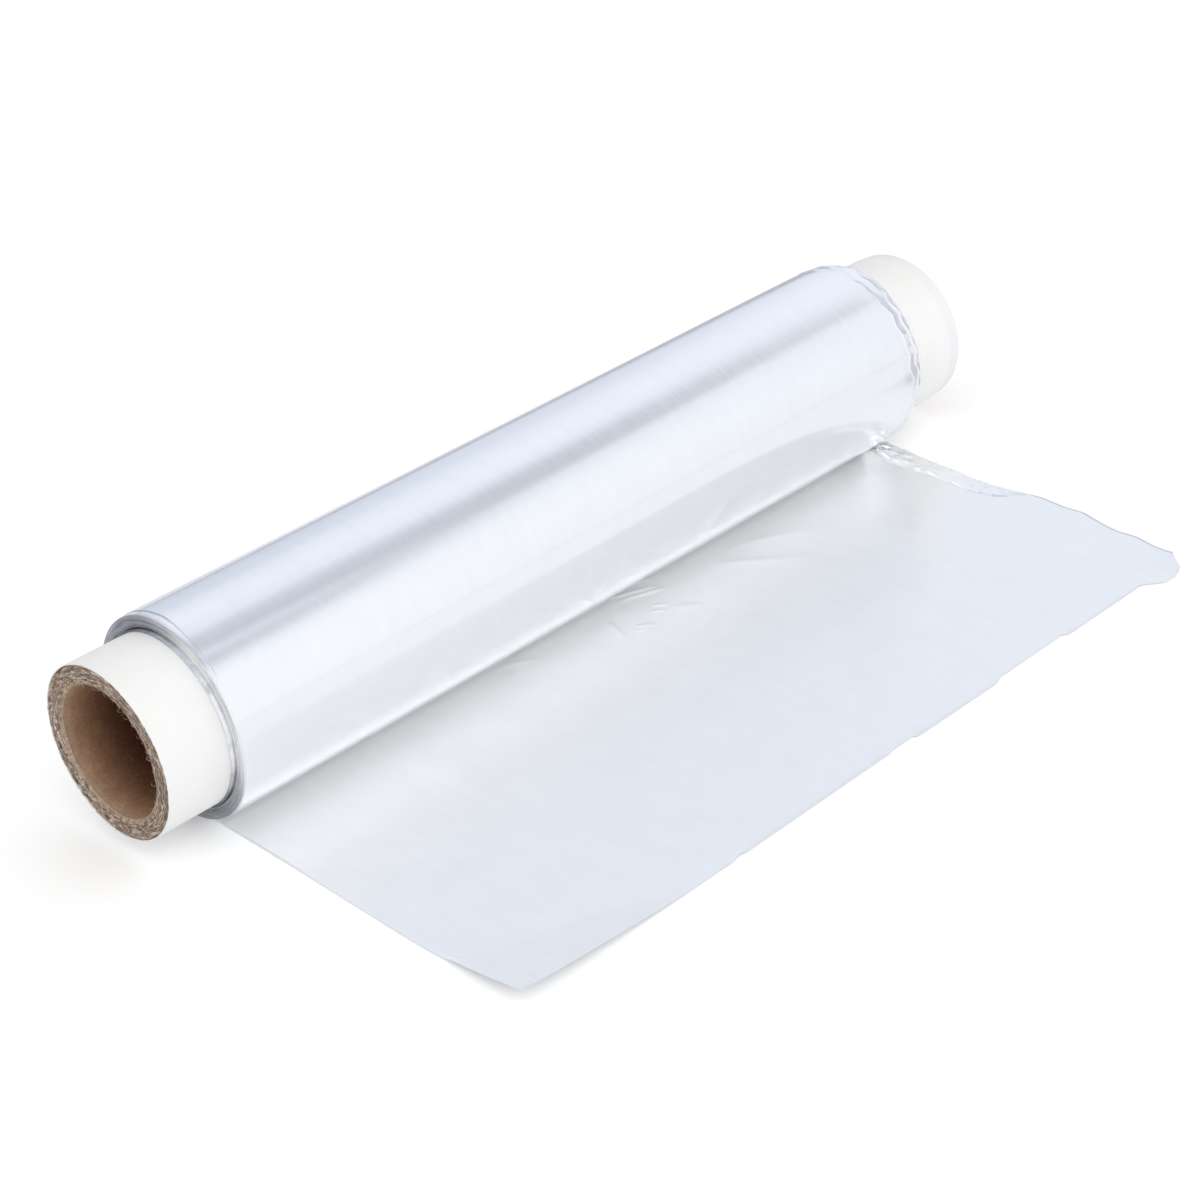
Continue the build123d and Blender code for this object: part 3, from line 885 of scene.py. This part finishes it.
def pale_table():
    table, tree, shader = finish("pale_table", Roughness=0.9, Specular_IOR_Level=0.1, Emission_Strength=0.14)
    straight, mirrored, _ = ways_seen(tree)
    # polished foil shows the table behind the roll and past its far end as a greyer one
    x, y, _ = split(tree, object_place(tree))
    behind = ramp(
        tree, y * 2, (0.06, (0.93, 0.96, 1.0)), (0.20, (0.84, 0.87, 0.92)), (1.0, (0.79, 0.82, 0.88)),
    )
    past = ramp(tree, x * 2, (0.38, grey(1)), (0.44, (0.72, 0.70, 0.74)), (0.9, (0.66, 0.64, 0.68)))
    beside = ramp(tree, y * 2 + 0.5, (0.28, grey(1)), (0.34, grey(0)))
    past = blend_colours(tree, beside, past, (1, 1, 1, 1))
    reflected = blend_colours(tree, 1.0, behind, past, kind="MULTIPLY")
    lit = blend_colours(tree, mirrored, (1, 1, 1, 1), reflected)
    shown = calculate(tree, "MAXIMUM", straight, mirrored)
    feed(tree, shader, Base_Color=blend_colours(tree, shown, (0.95, 0.95, 0.95, 1), lit))
    feed(tree, shader, Emission_Color=blend_colours(tree, straight, (0, 0, 0, 1), (1, 1, 1, 1)))
    ends = (-table_side, table_side)
    points = np.array([[(x, y, -table_drop) for x in ends] for y in ends])
    return skin("table_top", points, table)


def walls(tree, turn, tones):
    """The walls' tone at each turn up from the front and over to the back, in degrees."""
    stops = [
        (degrees / 180, (level * (1 - blue / 2), level, level * (1 + blue))) for degrees, level, blue in tones
    ]
    return ramp(tree, turn, *stops)


def step_up(tree, value, start, end):
    return add_node(tree, "ShaderNodeMapRange", {}, {0: value, 1: start, 2: end, 3: 0.0, 4: 1.0})


def white_room():
    world = bpy.data.worlds.new("white_room")
    bpy.context.scene.world = world
    world.use_nodes = True
    tree = world.node_tree
    tree.nodes.clear()
    straight, mirrored, depth = ways_seen(tree)
    x, y, z = split(tree, add_node(tree, "ShaderNodeTexCoord", output="Generated"))
    turn = calculate(tree, "ARCTAN2", z, y * -1.0) / math.pi
    near, middle, far = (walls(tree, turn, tones) for tones in (near_walls, middle_walls, far_walls))
    panels = blend_colours(tree, step_up(tree, x, 0.50, 0.58), near, middle)
    panels = blend_colours(tree, step_up(tree, x, 0.62, 0.72), panels, far)
    # the end wall past the far end is greyer, and shows only in folds that face that way
    end_wall = ramp(
        tree, x,
        (0.88, grey(1)), (0.93, (0.82, 0.80, 0.83)), (0.97, (0.72, 0.70, 0.74)), (1.0, (0.5, 0.5, 0.53)),
    )
    panels = blend_colours(tree, 1.0, panels, end_wall, kind="MULTIPLY")
    # walls that show by way of a second reflection are plain, and those of further ones make up for the
    # light that is lost where only so many reflections are followed. A ray's depth at the walls is one
    # more than its number of reflections.
    plain = ramp(tree, x, (0.46, (0.97, 0.99, 1.02)), (0.60, (0.86, 0.88, 0.92)), (0.72, (0.73, 0.75, 0.80)))
    third = ramp(
        tree, x,
        (0.49, (1.36, 1.38, 1.42)), (0.53, (1.18, 1.20, 1.24)), (0.60, (0.92, 0.94, 0.98)),
        (0.68, (0.90, 0.92, 0.96)),
    )
    fourth = ramp(tree, x, (0.49, (2.3, 2.34, 2.4)), (0.60, (1.6, 1.64, 1.7)), (0.68, (1.75, 1.79, 1.85)))
    for reflections, wall in ((2, plain), (3, third), (4, fourth)):
        further = calculate(tree, "GREATER_THAN", depth, reflections + 0.5)
        panels = blend_colours(tree, further, panels, wall)
    soft = ramp(
        tree, y * 0.5 + 0.5, (0.0, grey(1.27)), (0.2, grey(1.04)), (0.5, grey(0.82)), (1.0, grey(0.72)),
    )
    lit = blend_colours(tree, mirrored, soft, panels)
    colour = blend_colours(tree, straight, lit, (1, 1, 1, 1))
    background = add_node(tree, "ShaderNodeBackground", {}, {"Color": colour, "Strength": 1.0})
    output = tree.nodes.new("ShaderNodeOutputWorld")
    tree.links.new(background.socket, output.inputs[0])


def soft_lamp(name, power, place, width, height):
    data = bpy.data.lights.new(name, "AREA")
    data.shape = "RECTANGLE"
    data.size, data.size_y = width, height
    data.energy = power
    lamp = bpy.data.objects.new(name, data)
    lamp.location = place
    aim = lamp_target - lamp.location
    lamp.rotation_euler = aim.to_track_quat("-Z", "Y").to_euler()
    lamp.visible_glossy = False
    bpy.context.scene.collection.objects.link(lamp)


pale_table()
white_room()
soft_lamp("overhead_lamp", overhead_power, place=(-0.35, -0.45, 1.3), width=1.6, height=1.2)
soft_lamp("front_lamp", front_power, place=(0.1, -1.6, 0.8), width=1.2, height=0.8)

# The camera stands to the near left of the roll, a little under half a metre up, and leans slightly.
lens_length, sensor_width = 83.3, 36.0
camera_place = Vector((-0.5202, -0.5644, 0.4526))
camera_turns = (-43.770, 30.508, -3.904)
camera_azimuth, camera_elevation, camera_lean = (math.radians(turn) for turn in camera_turns)


def camera():
    data = bpy.data.cameras.new("camera")
    data.lens, data.sensor_width = lens_length, sensor_width
    level = math.cos(camera_elevation)
    back = Vector((
        math.sin(camera_azimuth) * level, -math.cos(camera_azimuth) * level, math.sin(camera_elevation),
    ))
    flat = Vector((math.cos(camera_azimuth), math.sin(camera_azimuth), 0))
    right = Matrix.Rotation(camera_lean, 3, back) @ flat
    turn = Matrix((right, back.cross(right), back)).transposed()
    seat = bpy.data.objects.new("camera", data)
    seat.matrix_world = Matrix.Translation(camera_place) @ turn.to_4x4()
    bpy.context.scene.collection.objects.link(seat)
    bpy.context.scene.camera = seat


camera()
bpy.context.scene.view_settings.view_transform = "Standard"
